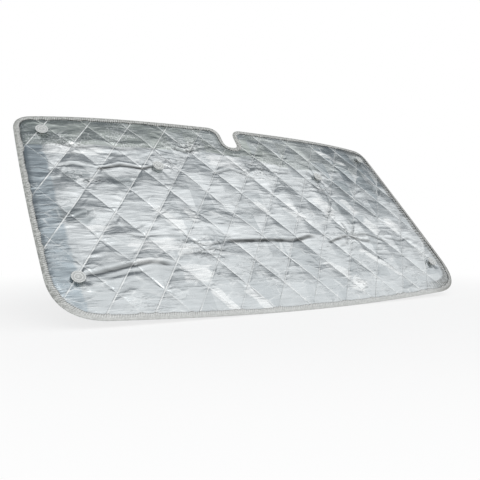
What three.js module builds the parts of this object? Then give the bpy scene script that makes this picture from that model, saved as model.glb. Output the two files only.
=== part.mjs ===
import * as THREE from 'three';

// A thermal windscreen mat: quilted foil over wadding and a cloth lining, bound round the edge,
// with six suction cups pressed through eyelets. It is built as it hangs behind a sloping windscreen.
// Sizes are in millimetres. u runs across the mat to the right, v up its slope, h out towards the glass.

// Outline of the mat, measured on the flat sheet from its middle
const MAT_HEIGHT = 836;
const HALF_WIDTH_TOP = 780;
const HALF_WIDTH_BOTTOM = 798;
const SIDE_BOW = 8;
const TOP_CROWN = 6;
const BOTTOM_BOW = 38;
const TOP_CORNER = 60;
const BOTTOM_CORNER = 140;

// Notch for the mirror's foot, on the centreline
const NOTCH_WIDTH = 60;
const NOTCH_DEPTH = 103;
const NOTCH_MOUTH = 50;
const NOTCH_FLOOR_ROUND = 0.48 * NOTCH_WIDTH;

// Diamond quilting: sizes of one diamond, and where one corner of the pattern falls
const DIAMOND_WIDTH = 140;
const DIAMOND_HEIGHT = 194;
const PATTERN_ACROSS = 10;
const PATTERN_UP = -20;
const PUFF_FRONT = 7.5;
const PUFF_BACK = 3;

// Each diamond is filled a little differently: the least and most share of the full puff.
// A lower power fills a diamond's sides more.
const PLUMP_LEAST = 0.8;
const PLUMP_MOST = 1.15;
const PLUMP_POWER = 0.55;

// Folds left by rolling the mat up: height up the sheet, reach across it, depth and half width
const FOLDS = [
  { v: -132, from: -230, to: 740, depth: 4.2 },
  { v: -226, from: -700, to: -410, depth: 3.6 },
  { v: 178, from: -680, to: -350, depth: 4 },
  { v: 283, from: -660, to: -320, depth: 3.4 },
  { v: 203, from: -140, to: 170, depth: 3 },
];
const FOLD_HALF_WIDTH = 22;

// Layers, front to back, as thick as they are at the seams
const FOIL = 0.5;
const WADDING = 1;
const LINING = 0.5;
const LAYER_GAP = 0.3;

// Folded tape that binds the edge
const BINDING_WIDTH = 18;
const BINDING_THICKNESS = 1;
const BINDING_MARGIN = 1.5;
const FIT_GAP = 0.3;

// How the sheet lies: slope above the horizontal, and how far its side edges sweep back from the middle
const SLOPE_DEG = 50.4;
const TOP_SWEEP = 45;
const BOTTOM_SWEEP = 6;
const SWEEP_ROUND_SHARE = 0.37;

// Suction cups and where they sit: in from the side edge, down from the top edge, up from the bottom edge
const CUP_RADIUS = 20;
const CUP_RIM = 1.2;
const CUP_DISC_DEPTH = 4;
const CUP_NECK_RADIUS = 4;
const CUP_BOSS_LIP = 5;
const CUP_HEAD_LIP = 2.6;
const CUP_HEAD_HEIGHT = 3.6;
const CUP_CHAMFER = 0.5;
const GLASS_CLEARANCE = 2.4;
const CORNER_CUP_INSET = 81;
const TOP_CUP_DROP = 80;
const MIDDLE_CUP_OUT = 352;
const MIDDLE_CUP_DROP = 236;
const BOTTOM_CUP_RISE = 164;

// Eyelets and their washers
const EYELET_FLANGE_WIDTH = 5.6;
const EYELET_WALL = 0.7;
const EYELET_CURL = 1.6;
const FLANGE_THICKNESS = 0.8;
const FLANGE_CHAMFER = 0.6;
const NECK_CLEARANCE = 0.7;

// Fineness of the model
const CELL_STEPS_FRONT = 3;
const CELL_STEPS_BACK = 2;
const STATION_STEP = 44;
const STATION_TURN = 0.22;
const CURVE_STEPS = 40;
const HOLE_SIDES = 12;
const CUP_SIDES = 16;

const TOP = MAT_HEIGHT / 2;
const BOTTOM = -MAT_HEIGHT / 2;

// Faces of the layers at the seams, measured outwards from the foil's face
const FOIL_BACK = -FOIL;
const WADDING_FRONT = FOIL_BACK - LAYER_GAP;
const WADDING_BACK = WADDING_FRONT - WADDING;
const LINING_FRONT = WADDING_BACK - LAYER_GAP;
const LINING_BACK = LINING_FRONT - LINING;

// The glass, which the cups' faces touch
const GLASS = PUFF_FRONT * PLUMP_MOST + GLASS_CLEARANCE;

const EYELET_BORE = CUP_NECK_RADIUS + NECK_CLEARANCE;
const BARREL_RADIUS = EYELET_BORE + EYELET_WALL;
const FLANGE_RADIUS = BARREL_RADIUS + EYELET_FLANGE_WIDTH;
const HOLE_RADIUS = BARREL_RADIUS + 2 * FIT_GAP;
const SEAT_RADIUS = FLANGE_RADIUS + BINDING_MARGIN;
const MAT_EDGE_INSET = BINDING_THICKNESS + FIT_GAP;
const BAND_INSET = BINDING_WIDTH + BINDING_MARGIN;

const MATERIALS = {
  foil: new THREE.MeshStandardMaterial({ color: 0xc9d0d0, roughness: 0.32, metalness: 0.9 }),
  wadding: new THREE.MeshStandardMaterial({ color: 0xe9e8e2, roughness: 1, metalness: 0 }),
  lining: new THREE.MeshStandardMaterial({ color: 0x6b7074, roughness: 0.95, metalness: 0 }),
  binding: new THREE.MeshStandardMaterial({ color: 0xa9a9a3, roughness: 0.9, metalness: 0 }),
  cup: new THREE.MeshStandardMaterial({ color: 0xc3c6c2, roughness: 0.25, metalness: 0 }),
  eyelet: new THREE.MeshStandardMaterial({ color: 0xb9bcbd, roughness: 0.3, metalness: 1 }),
};

const lerp = THREE.MathUtils.lerp;
const clamp = THREE.MathUtils.clamp;

// The bent sheet: the point at (u, v), raised h along the sheet's own normal
function sheetFrame(u, v) {
  const reach = u / HALF_WIDTH_BOTTOM;
  const sweep = lerp(BOTTOM_SWEEP, TOP_SWEEP, v / MAT_HEIGHT + 0.5);
  const sharp = 1 - SWEEP_ROUND_SHARE;
  const shape = SWEEP_ROUND_SHARE * reach ** 2 + sharp * reach ** 4;
  const shapeSlope = (2 * SWEEP_ROUND_SHARE * reach + 4 * sharp * reach ** 3) / HALF_WIDTH_BOTTOM;
  const sweepSlope = (TOP_SWEEP - BOTTOM_SWEEP) / MAT_HEIGHT;
  const normal = new THREE.Vector3(sweep * shapeSlope, sweepSlope * shape, 1).normalize();
  return { point: new THREE.Vector3(u, v, -sweep * shape), normal };
}

function sheetPoint(u, v, h) {
  const { point, normal } = sheetFrame(u, v);
  return point.addScaledVector(normal, h);
}

function topEdgeAt(u) {
  return TOP - TOP_CROWN * (u / HALF_WIDTH_TOP) ** 2;
}

// The outline's corners, anticlockwise. Round is the length of edge that the rounding takes, at least enough
// for the tape to follow. Bow is how far the edge after the corner bulges out.
function outlineCorners() {
  const leastRound = 2 * BAND_INSET;
  const topRound = Math.max(TOP_CORNER, leastRound);
  const bottomRound = Math.max(BOTTOM_CORNER, leastRound);
  const mouthRound = Math.min(Math.max(NOTCH_MOUTH, leastRound), NOTCH_DEPTH - NOTCH_FLOOR_ROUND);
  const half = NOTCH_WIDTH / 2;
  const bottomV = BOTTOM + BOTTOM_BOW;
  const topV = topEdgeAt(HALF_WIDTH_TOP);
  const mouthV = topEdgeAt(half);
  const floorV = TOP - NOTCH_DEPTH;
  return [
    { u: -HALF_WIDTH_BOTTOM, v: bottomV, round: bottomRound, bow: BOTTOM_BOW },
    { u: HALF_WIDTH_BOTTOM, v: bottomV, round: bottomRound, bow: SIDE_BOW },
    { u: HALF_WIDTH_TOP, v: topV, round: topRound, bow: 0 },
    { u: half, v: mouthV, round: mouthRound, bow: 0 },
    { u: half, v: floorV, round: NOTCH_FLOOR_ROUND, bow: 0 },
    { u: -half, v: floorV, round: NOTCH_FLOOR_ROUND, bow: 0 },
    { u: -half, v: mouthV, round: mouthRound, bow: 0 },
    { u: -HALF_WIDTH_TOP, v: topV, round: topRound, bow: SIDE_BOW },
  ];
}

// The outline as a path of bowed edges joined by rounded corners
function outlinePath() {
  const corners = outlineCorners();
  const edges = corners.map((corner, k) => {
    const next = corners[(k + 1) % corners.length];
    const a = new THREE.Vector2(corner.u, corner.v);
    const b = new THREE.Vector2(next.u, next.v);
    const length = a.distanceTo(b);
    const out = new THREE.Vector2(b.y - a.y, a.x - b.x).divideScalar(length);
    const along = (distance) => {
      const t = distance / length;
      return a.clone().lerp(b, t).addScaledVector(out, 4 * corner.bow * t * (1 - t));
    };
    const start = along(corner.round);
    const end = along(length - next.round);
    const middle = along((length + corner.round - next.round) / 2);
    const pull = middle.clone().multiplyScalar(2).addScaledVector(start, -0.5).addScaledVector(end, -0.5);
    return { start, pull, end, corner: b };
  });
  const path = new THREE.Path();
  path.moveTo(edges[0].start.x, edges[0].start.y);
  edges.forEach(({ pull, end, corner }, k) => {
    const next = edges[(k + 1) % edges.length].start;
    path.quadraticCurveTo(pull.x, pull.y, end.x, end.y);
    path.quadraticCurveTo(corner.x, corner.y, next.x, next.y);
  });
  return path;
}

// Stations along the outline, close together where it turns, each with its inward direction
function edgeStations() {
  const dense = outlinePath().getPoints(CURVE_STEPS).slice(0, -1);
  const count = dense.length;
  const stations = [];
  let travelled = Infinity;
  let turned = 0;
  for (let k = 0; k < count; k += 1) {
    const before = dense[(k + count - 1) % count];
    const here = dense[k];
    const after = dense[(k + 1) % count];
    const into = here.clone().sub(before);
    const away = after.clone().sub(here);
    travelled += into.length();
    turned += Math.abs(Math.atan2(into.cross(away), into.dot(away)));
    if (travelled >= STATION_STEP || turned >= STATION_TURN) {
      const along = after.clone().sub(before).normalize();
      stations.push({ u: here.x, v: here.y, inward: new THREE.Vector2(-along.y, along.x) });
      travelled = 0;
      turned = 0;
    }
  }
  const [first] = stations;
  const last = stations.at(-1);
  if (Math.hypot(first.u - last.u, first.v - last.v) < STATION_STEP / 2) stations.pop();
  return stations;
}

const STATIONS = edgeStations();

function ringAt(inset) {
  return STATIONS.map(({ u, v, inward }) => [u + inward.x * inset, v + inward.y * inset]);
}

function halfWidthAt(v) {
  return lerp(HALF_WIDTH_BOTTOM, HALF_WIDTH_TOP, clamp(v / MAT_HEIGHT + 0.5, 0, 1));
}

function cupPlaces() {
  const topV = TOP - TOP_CUP_DROP;
  const bottomV = BOTTOM + BOTTOM_CUP_RISE;
  const rows = [
    { row: 'top', out: halfWidthAt(topV) - CORNER_CUP_INSET, v: topV },
    { row: 'upper', out: MIDDLE_CUP_OUT, v: TOP - MIDDLE_CUP_DROP },
    { row: 'bottom', out: halfWidthAt(bottomV) - CORNER_CUP_INSET, v: bottomV },
  ];
  return rows.flatMap(({ row, out, v }) => [
    { name: `${row}_left`, u: -out, v },
    { name: `${row}_right`, u: out, v },
  ]);
}

const CUPS = cupPlaces();

function circleAround(place, radius) {
  return Array.from({ length: HOLE_SIDES }, (_, k) => {
    const angle = (2 * Math.PI * k) / HOLE_SIDES;
    return [place.u + radius * Math.cos(angle), place.v + radius * Math.sin(angle)];
  });
}

// How full a diamond is, from 0 on its seams to 1 in its middle; a and b run from 0 to 1 between its seams
function plumpness(a, b) {
  return (Math.sin(Math.PI * a) * Math.sin(Math.PI * b)) ** PLUMP_POWER;
}

// Each diamond's own share of the full puff, irregular but always the same
function ownShare(i, j) {
  const wave = 1000 * Math.sin(13 * i + 78 * j + 1);
  return lerp(PLUMP_LEAST, PLUMP_MOST, wave - Math.floor(wave));
}

function foldDepth(u, v) {
  return FOLDS.reduce((sum, fold) => {
    const inside = u > fold.from && u < fold.to;
    return inside ? sum + fold.depth * Math.exp(-(((v - fold.v) / FOLD_HALF_WIDTH) ** 2)) : sum;
  }, 0);
}

// Points of the quilting inside the sheet, each with its height above the seams in front and behind
function quiltPoints(steps) {
  const points = [];
  const reach = Math.ceil(HALF_WIDTH_BOTTOM / DIAMOND_WIDTH + MAT_HEIGHT / DIAMOND_HEIGHT) + 1;
  for (let i = -reach; i <= reach; i += 1) {
    for (let j = -reach; j <= reach; j += 1) {
      const own = ownShare(i, j);
      const parts = [];
      for (let k = 0; k < steps; k += 1) {
        for (let l = 0; l < steps; l += 1) parts.push([k / steps, l / steps]);
      }
      if (steps % 2 === 1) parts.push([0.5, 0.5]);
      parts.forEach(([a, b]) => {
        const u = PATTERN_ACROSS + ((i + a + j + b) * DIAMOND_WIDTH) / 2;
        const v = PATTERN_UP + ((i + a - j - b) * DIAMOND_HEIGHT) / 2;
        const plump = a === 0 || b === 0 ? 0 : plumpness(a, b) * own;
        const front = Math.max(0, plump * PUFF_FRONT - foldDepth(u, v));
        points.push({ u, v, front, back: plump * PUFF_BACK });
      });
    }
  }
  return points;
}

function insideLoop(u, v, loop) {
  let inside = false;
  loop.forEach(([au, av], k) => {
    const [bu, bv] = loop[(k + 1) % loop.length];
    if (av > v !== bv > v && u < au + ((v - av) / (bv - av)) * (bu - au)) inside = !inside;
  });
  return inside;
}

// True where a point would crowd one of a loop's edges
function crowds(u, v, loop, margin) {
  return loop.some(([au, av], k) => {
    const [bu, bv] = loop[(k + 1) % loop.length];
    const halfLength = Math.hypot(bu - au, bv - av) / 2;
    return Math.hypot(u - (au + bu) / 2, v - (av + bv) / 2) < halfLength + margin;
  });
}

// Delaunay triangles of scattered points, by adding them one at a time
function delaunay(points) {
  const far = 100 * (HALF_WIDTH_BOTTOM + MAT_HEIGHT);
  const count = points.length;
  const all = [...points, [-far, -far], [far, -far], [0, far]];
  const circle = (a, b, c) => {
    const [ax, ay] = all[a];
    const bx = all[b][0] - ax;
    const by = all[b][1] - ay;
    const cx = all[c][0] - ax;
    const cy = all[c][1] - ay;
    const twice = 2 * (bx * cy - by * cx);
    const x = (cy * (bx * bx + by * by) - by * (cx * cx + cy * cy)) / twice;
    const y = (bx * (cx * cx + cy * cy) - cx * (bx * bx + by * by)) / twice;
    return { corners: [a, b, c], x: ax + x, y: ay + y, reach: x * x + y * y };
  };
  let triangles = [circle(count, count + 1, count + 2)];
  for (let p = 0; p < count; p += 1) {
    const [px, py] = all[p];
    const rim = new Map();
    triangles = triangles.filter(({ corners, x, y, reach }) => {
      if ((px - x) ** 2 + (py - y) ** 2 > reach) return true;
      for (let k = 0; k < 3; k += 1) {
        const a = corners[k];
        const b = corners[(k + 1) % 3];
        if (!rim.delete(`${b} ${a}`)) rim.set(`${a} ${b}`, [a, b]);
      }
      return false;
    });
    rim.forEach(([a, b]) => triangles.push(circle(a, b, p)));
  }
  return triangles.map(({ corners }) => corners).filter((corners) => corners.every((k) => k < count));
}

const BAND = ringAt(BAND_INSET);
const EDGE = ringAt(MAT_EDGE_INSET);

// The plan of a quilted face: the loops come first, and are the same in every plan
function plan(steps) {
  const seats = CUPS.map((place) => circleAround(place, SEAT_RADIUS));
  const holes = CUPS.map((place) => circleAround(place, HOLE_RADIUS));
  const onQuilt = (u, v) => insideLoop(u, v, BAND) && !seats.some((seat) => insideLoop(u, v, seat));
  const crowdsSeat = (u, v) => seats.some((seat) => crowds(u, v, seat, FLANGE_RADIUS));
  const crowded = (u, v) => crowds(u, v, BAND, BINDING_MARGIN) || crowdsSeat(u, v);
  const quilt = quiltPoints(steps).filter(({ u, v }) => onQuilt(u, v) && !crowded(u, v));

  const loops = [...holes, EDGE, BAND, ...seats];
  const starts = [];
  const flat = [];
  loops.forEach((loop) => {
    starts.push(flat.length);
    loop.forEach(([u, v]) => flat.push({ u, v, front: 0, back: 0 }));
  });
  const points = [...flat, ...quilt];
  const edgeStart = starts[holes.length];
  const bandStart = starts[holes.length + 1];

  // The net joins the points from the band inwards. A point in each eyelet's middle keeps it regular.
  const netPoints = points.slice(bandStart).map(({ u, v }) => [u, v]);
  const middles = CUPS.map(({ u, v }) => [u, v]);
  const triangles = delaunay([...netPoints, ...middles])
    .filter((corners) => corners.every((k) => k < netPoints.length))
    .map((corners) => corners.map((k) => k + bandStart))
    .filter((corners) => {
      const u = corners.reduce((sum, k) => sum + points[k].u, 0) / 3;
      const v = corners.reduce((sum, k) => sum + points[k].v, 0) / 3;
      return onQuilt(u, v);
    });
  const strip = (outer, inner, length) => {
    for (let k = 0; k < length; k += 1) {
      const next = (k + 1) % length;
      triangles.push([outer + k, outer + next, inner + k], [outer + next, inner + next, inner + k]);
    }
  };
  strip(edgeStart, bandStart, EDGE.length);
  holes.forEach((hole, k) => strip(starts[holes.length + 2 + k], starts[k], HOLE_SIDES));
  const rims = holes.map((hole, k) => ({ start: starts[k], length: HOLE_SIDES, outward: false }));
  rims.push({ start: edgeStart, length: EDGE.length, outward: true });
  return { points, triangles, rims };
}

const FRONT_PLAN = plan(CELL_STEPS_FRONT);
const BACK_PLAN = plan(CELL_STEPS_BACK);

function geometryFrom(corners, triangles) {
  const geometry = new THREE.BufferGeometry();
  const positions = corners.flatMap(({ x, y, z }) => [x, y, z]);
  geometry.setAttribute('position', new THREE.Float32BufferAttribute(positions, 3));
  geometry.setIndex(triangles.flat());
  geometry.computeVertexNormals();
  return geometry;
}

// A layer of the mat between two faces, each a plan with a height for every point
function layer(front, frontHeight, back, backHeight) {
  const lift = (points, height) => points.map((point) => sheetPoint(point.u, point.v, height(point)));
  const corners = [...lift(front.points, frontHeight), ...lift(back.points, backHeight)];
  const behind = front.points.length;
  const triangles = [...front.triangles];
  back.triangles.forEach(([a, b, c]) => triangles.push([a + behind, c + behind, b + behind]));
  front.rims.forEach(({ start, length, outward }) => {
    for (let k = 0; k < length; k += 1) {
      const a = start + (outward ? k : (k + 1) % length);
      const b = start + (outward ? (k + 1) % length : k);
      triangles.push([a, a + behind, b], [b, a + behind, b + behind]);
    }
  });
  return geometryFrom(corners, triangles);
}

function foilLayer() {
  const face = ({ front }) => front;
  const inside = ({ front }) => FOIL_BACK + front;
  return layer(FRONT_PLAN, face, FRONT_PLAN, inside);
}

function waddingLayer() {
  const underFoil = ({ front }) => WADDING_FRONT + front;
  const overLining = ({ back }) => WADDING_BACK - back;
  return layer(FRONT_PLAN, underFoil, BACK_PLAN, overLining);
}

function liningLayer() {
  const inside = ({ back }) => LINING_FRONT - back;
  const face = ({ back }) => LINING_BACK - back;
  return layer(BACK_PLAN, inside, BACK_PLAN, face);
}

// The binding: a folded tape round the edge, its section given as inset from the outline and height
function bindingTape() {
  const frontInside = FIT_GAP;
  const frontOutside = FIT_GAP + BINDING_THICKNESS;
  const backInside = LINING_BACK - FIT_GAP;
  const backOutside = backInside - BINDING_THICKNESS;
  const section = [
    [0, frontOutside - BINDING_THICKNESS / 2],
    [0, backOutside + BINDING_THICKNESS / 2],
    [BINDING_THICKNESS / 2, backOutside],
    [BINDING_WIDTH, backOutside],
    [BINDING_WIDTH, backInside],
    [BINDING_THICKNESS, backInside],
    [BINDING_THICKNESS, frontInside],
    [BINDING_WIDTH, frontInside],
    [BINDING_WIDTH, frontOutside],
    [BINDING_THICKNESS / 2, frontOutside],
  ];
  const corners = STATIONS.flatMap(({ u, v, inward }) => section.map(([inset, h]) => {
    return sheetPoint(u + inward.x * inset, v + inward.y * inset, h);
  }));
  const triangles = [];
  const sides = section.length;
  STATIONS.forEach((_, k) => {
    const here = k * sides;
    const next = ((k + 1) % STATIONS.length) * sides;
    for (let s = 0; s < sides; s += 1) {
      const t = (s + 1) % sides;
      triangles.push([here + s, here + t, next + s], [next + s, here + t, next + t]);
    }
  });
  return geometryFrom(corners, triangles);
}

// A turned shape, its profile given as radius and height, with its axis turned to point out of the sheet
function turned(profile, sides) {
  const points = profile.map(([radius, height]) => new THREE.Vector2(radius, height));
  return new THREE.LatheGeometry(points, sides).rotateX(Math.PI / 2);
}

const WASHER_FRONT = LINING_BACK - FIT_GAP;
const WASHER_BACK = WASHER_FRONT - FLANGE_THICKNESS;
const CURL_FRONT = WASHER_BACK - FIT_GAP;
const CURL_BACK = CURL_FRONT - EYELET_WALL;
const CURL_RADIUS = BARREL_RADIUS + EYELET_CURL;
const HEAD_FRONT = CURL_BACK - FIT_GAP;

// An eyelet: front flange, barrel through the mat, and the curl that grips its washer
function eyelet() {
  return turned([
    [EYELET_BORE, CURL_BACK],
    [CURL_RADIUS, CURL_BACK],
    [CURL_RADIUS, CURL_FRONT],
    [BARREL_RADIUS, CURL_FRONT],
    [BARREL_RADIUS, FIT_GAP],
    [FLANGE_RADIUS, FIT_GAP],
    [FLANGE_RADIUS - FLANGE_CHAMFER, FIT_GAP + FLANGE_THICKNESS],
    [EYELET_BORE, FIT_GAP + FLANGE_THICKNESS],
    [EYELET_BORE, CURL_BACK],
  ], HOLE_SIDES);
}

function washer() {
  const bore = BARREL_RADIUS + FIT_GAP;
  return turned([
    [bore, WASHER_BACK],
    [FLANGE_RADIUS - FLANGE_CHAMFER, WASHER_BACK],
    [FLANGE_RADIUS, WASHER_FRONT],
    [bore, WASHER_FRONT],
    [bore, WASHER_BACK],
  ], HOLE_SIDES);
}

// A suction cup pressed flat on the glass: disc, boss, neck through the eyelet and a button head behind
function suctionCup() {
  const headRadius = CUP_NECK_RADIUS + CUP_HEAD_LIP;
  const headBack = HEAD_FRONT - CUP_HEAD_HEIGHT;
  const bossRadius = CUP_NECK_RADIUS + CUP_BOSS_LIP;
  const bossBack = 2 * FIT_GAP + FLANGE_THICKNESS;
  return turned([
    [0, headBack],
    [headRadius / 2, headBack],
    [headRadius, headBack / 2 + HEAD_FRONT / 2],
    [headRadius, HEAD_FRONT],
    [CUP_NECK_RADIUS, HEAD_FRONT],
    [CUP_NECK_RADIUS, bossBack],
    [bossRadius, bossBack + CUP_CHAMFER],
    [bossRadius, GLASS - CUP_DISC_DEPTH],
    [CUP_RADIUS - CUP_CHAMFER, GLASS - CUP_RIM],
    [CUP_RADIUS, GLASS - CUP_RIM + CUP_CHAMFER],
    [CUP_RADIUS - CUP_CHAMFER, GLASS],
    [0, GLASS],
  ], CUP_SIDES);
}

function named(name, geometry, material) {
  const mesh = new THREE.Mesh(geometry, material);
  mesh.name = name;
  return mesh;
}

// Sets a turned piece on the sheet at a cup's place, its axis along the sheet's normal there
function seat(mesh, place) {
  const { point, normal } = sheetFrame(place.u, place.v);
  mesh.position.copy(point);
  mesh.quaternion.setFromUnitVectors(new THREE.Vector3(0, 0, 1), normal);
  return mesh;
}

const mat = new THREE.Group();
mat.add(named('outer_foil', foilLayer(), MATERIALS.foil));
mat.add(named('wadding', waddingLayer(), MATERIALS.wadding));
mat.add(named('inner_lining', liningLayer(), MATERIALS.lining));
mat.add(named('edge_binding', bindingTape(), MATERIALS.binding));
CUPS.forEach((place) => {
  mat.add(seat(named(`eyelet_${place.name}`, eyelet(), MATERIALS.eyelet), place));
  mat.add(seat(named(`eyelet_washer_${place.name}`, washer(), MATERIALS.eyelet), place));
  mat.add(seat(named(`suction_cup_${place.name}`, suctionCup(), MATERIALS.cup), place));
});
mat.rotation.x = THREE.MathUtils.degToRad(SLOPE_DEG);

// The frame's origin is the middle of the top left cup's face
const firstCup = CUPS[0];
const origin = sheetPoint(firstCup.u, firstCup.v, GLASS).applyEuler(mat.rotation);
mat.position.copy(origin).negate();

const sunshade = new THREE.Group();
sunshade.add(mat);

export default sunshade;
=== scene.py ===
"""A thermal windscreen mat: quilted foil, felt and lining in a sewn binding, with six suction cups."""

import math

import bpy
import numpy as np
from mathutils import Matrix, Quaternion, Vector


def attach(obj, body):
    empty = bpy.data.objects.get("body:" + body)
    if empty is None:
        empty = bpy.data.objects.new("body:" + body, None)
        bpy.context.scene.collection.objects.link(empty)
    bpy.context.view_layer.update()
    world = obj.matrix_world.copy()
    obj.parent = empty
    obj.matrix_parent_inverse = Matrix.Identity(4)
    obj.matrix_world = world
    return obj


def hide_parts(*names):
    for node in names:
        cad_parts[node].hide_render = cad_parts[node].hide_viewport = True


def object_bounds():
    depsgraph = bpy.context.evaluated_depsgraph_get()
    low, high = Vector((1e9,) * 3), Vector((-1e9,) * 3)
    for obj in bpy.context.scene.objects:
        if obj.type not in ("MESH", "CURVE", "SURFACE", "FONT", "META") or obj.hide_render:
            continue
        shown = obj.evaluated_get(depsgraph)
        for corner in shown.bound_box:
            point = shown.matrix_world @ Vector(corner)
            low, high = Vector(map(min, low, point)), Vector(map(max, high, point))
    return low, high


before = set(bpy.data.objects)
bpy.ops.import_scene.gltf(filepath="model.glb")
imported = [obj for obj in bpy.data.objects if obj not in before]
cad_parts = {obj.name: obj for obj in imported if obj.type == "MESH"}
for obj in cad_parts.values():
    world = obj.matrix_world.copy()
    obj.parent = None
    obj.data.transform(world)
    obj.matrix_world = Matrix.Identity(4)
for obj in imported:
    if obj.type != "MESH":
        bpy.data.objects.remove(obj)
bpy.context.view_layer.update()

# The inner lining: a grey woven polyester cloth on the cabin side of the mat. It is quilted through to the
# foil in diamonds, so it puffs a little between the seams. The mat's bend and plan are set out here.

MM = 0.001
MAT_HEIGHT = 836.0
HALF_WIDTH_TOP = 780.0
HALF_WIDTH_BOTTOM = 798.0
SIDE_BOW = 8.0
TOP_CROWN = 6.0
BOTTOM_BOW = 38.0
TOP_CORNER = 60.0
BOTTOM_CORNER = 140.0
NOTCH_WIDTH = 60.0
NOTCH_DEPTH = 103.0
NOTCH_MOUTH = 50.0
NOTCH_FLOOR_ROUND = 0.48 * NOTCH_WIDTH
TOP_SWEEP = 45.0
BOTTOM_SWEEP = 6.0
SWEEP_ROUND_SHARE = 0.37
SLOPE = math.radians(50.4)
MAT_MIDDLE = np.array([702.06, -228.22, -250.31])
MIDDLE_U = MAT_MIDDLE[0] * MM
MIDDLE_V = (MAT_MIDDLE[1] * math.cos(SLOPE) + MAT_MIDDLE[2] * math.sin(SLOPE)) * MM
DIAMOND_WIDTH = 140.0
DIAMOND_HEIGHT = 194.0
PATTERN_ACROSS = 10.0
PATTERN_UP = -20.0
BINDING_WIDTH = 18.0
EDGE_INSET = 2.0
CUP_PLACES = {
    "top_left": (-701.7, 338.0),
    "top_right": (701.7, 338.0),
    "upper_left": (-352.0, 182.0),
    "upper_right": (352.0, 182.0),
    "bottom_left": (-713.5, -254.0),
    "bottom_right": (713.5, -254.0),
}


def on_sheet(u, v, h):
    """The place of a point u across and v up the mat, h proud of the foil's seams, in metres."""
    reach = np.abs(u) / HALF_WIDTH_BOTTOM
    sweep = BOTTOM_SWEEP + (TOP_SWEEP - BOTTOM_SWEEP) * (v / MAT_HEIGHT + 0.5)
    shape = SWEEP_ROUND_SHARE * reach**2 + (1 - SWEEP_ROUND_SHARE) * reach**4
    slope = 2 * SWEEP_ROUND_SHARE * reach + 4 * (1 - SWEEP_ROUND_SHARE) * reach**3
    lean_u = sweep * slope * np.sign(u) / HALF_WIDTH_BOTTOM
    lean_v = (TOP_SWEEP - BOTTOM_SWEEP) / MAT_HEIGHT * shape
    length = np.sqrt(lean_u**2 + lean_v**2 + 1)
    across = u + h * lean_u / length
    up = v + h * lean_v / length
    out = h / length - sweep * shape
    back = up * math.cos(SLOPE) - out * math.sin(SLOPE)
    high = up * math.sin(SLOPE) + out * math.cos(SLOPE)
    return (np.stack([across, back, high], -1) + MAT_MIDDLE) * MM


POINTS_PER_CURVE = 200


def outline(step):
    """Points step apart round the mat's cut edge, anticlockwise, the way inward at each, and its length."""
    half_notch, bottom_v = NOTCH_WIDTH / 2, -MAT_HEIGHT / 2 + BOTTOM_BOW
    top_v = MAT_HEIGHT / 2 - TOP_CROWN
    mouth_v = MAT_HEIGHT / 2 - TOP_CROWN * (half_notch / HALF_WIDTH_TOP) ** 2
    floor_v = MAT_HEIGHT / 2 - NOTCH_DEPTH
    corners = [
        (-HALF_WIDTH_BOTTOM, bottom_v, BOTTOM_CORNER, BOTTOM_BOW),
        (HALF_WIDTH_BOTTOM, bottom_v, BOTTOM_CORNER, SIDE_BOW),
        (HALF_WIDTH_TOP, top_v, TOP_CORNER, 0),
        (half_notch, mouth_v, NOTCH_MOUTH, 0),
        (half_notch, floor_v, NOTCH_FLOOR_ROUND, 0),
        (-half_notch, floor_v, NOTCH_FLOOR_ROUND, 0),
        (-half_notch, mouth_v, NOTCH_MOUTH, 0),
        (-HALF_WIDTH_TOP, top_v, TOP_CORNER, SIDE_BOW),
    ]
    t = np.linspace(0, 1, POINTS_PER_CURVE, endpoint=False)[:, None]
    sides = []
    for k, (u, v, round_off, bow) in enumerate(corners):
        after = corners[(k + 1) % len(corners)]
        a, b = np.array([u, v]), np.array(after[:2])
        length = np.linalg.norm(b - a)
        out = np.array([b[1] - a[1], a[0] - b[0]]) / length
        places = np.array([round_off, (length + round_off - after[2]) / 2, length - after[2]])[:, None]
        share = places / length
        start, middle, end = a + (b - a) * share + out * 4 * bow * share * (1 - share)
        sides.append((start, 2 * middle - (start + end) / 2, end, b))
    path = []
    for k, (start, pull, end, corner) in enumerate(sides):
        after = sides[(k + 1) % len(sides)][0]
        path.append((1 - t) ** 2 * start + 2 * t * (1 - t) * pull + t**2 * end)
        path.append((1 - t) ** 2 * end + 2 * t * (1 - t) * corner + t**2 * after)
    path = np.concatenate(path)
    closed = np.vstack([path, path[:1]])
    travelled = np.concatenate([[0], np.cumsum(np.linalg.norm(np.diff(closed, axis=0), axis=1))])
    stops = np.linspace(0, travelled[-1], int(travelled[-1] / step), endpoint=False)
    points = np.stack([np.interp(stops, travelled, closed[:, k]) for k in (0, 1)], 1)
    along = np.roll(points, -1, 0) - np.roll(points, 1, 0)
    along /= np.linalg.norm(along, axis=1)[:, None]
    return points, np.stack([-along[:, 1], along[:, 0]], 1), travelled[-1]


EDGE_STEP = 4.0
EDGE, EDGE_INWARD, _ = outline(EDGE_STEP)
NEAREST_CHUNK = 4000


def edge_inset(u, v):
    """How far each point lies inside the cut edge, and the number of the nearest edge point."""
    inset, nearest = np.empty(len(u)), np.empty(len(u), int)
    for start in range(0, len(u), NEAREST_CHUNK):
        part = slice(start, start + NEAREST_CHUNK)
        away_u = u[part, None] - EDGE[None, :, 0]
        away_v = v[part, None] - EDGE[None, :, 1]
        k = np.argmin(away_u**2 + away_v**2, 1)
        row = np.arange(len(k))
        inset[part] = away_u[row, k] * EDGE_INWARD[k, 0] + away_v[row, k] * EDGE_INWARD[k, 1]
        nearest[part] = k
    return inset, nearest


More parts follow.
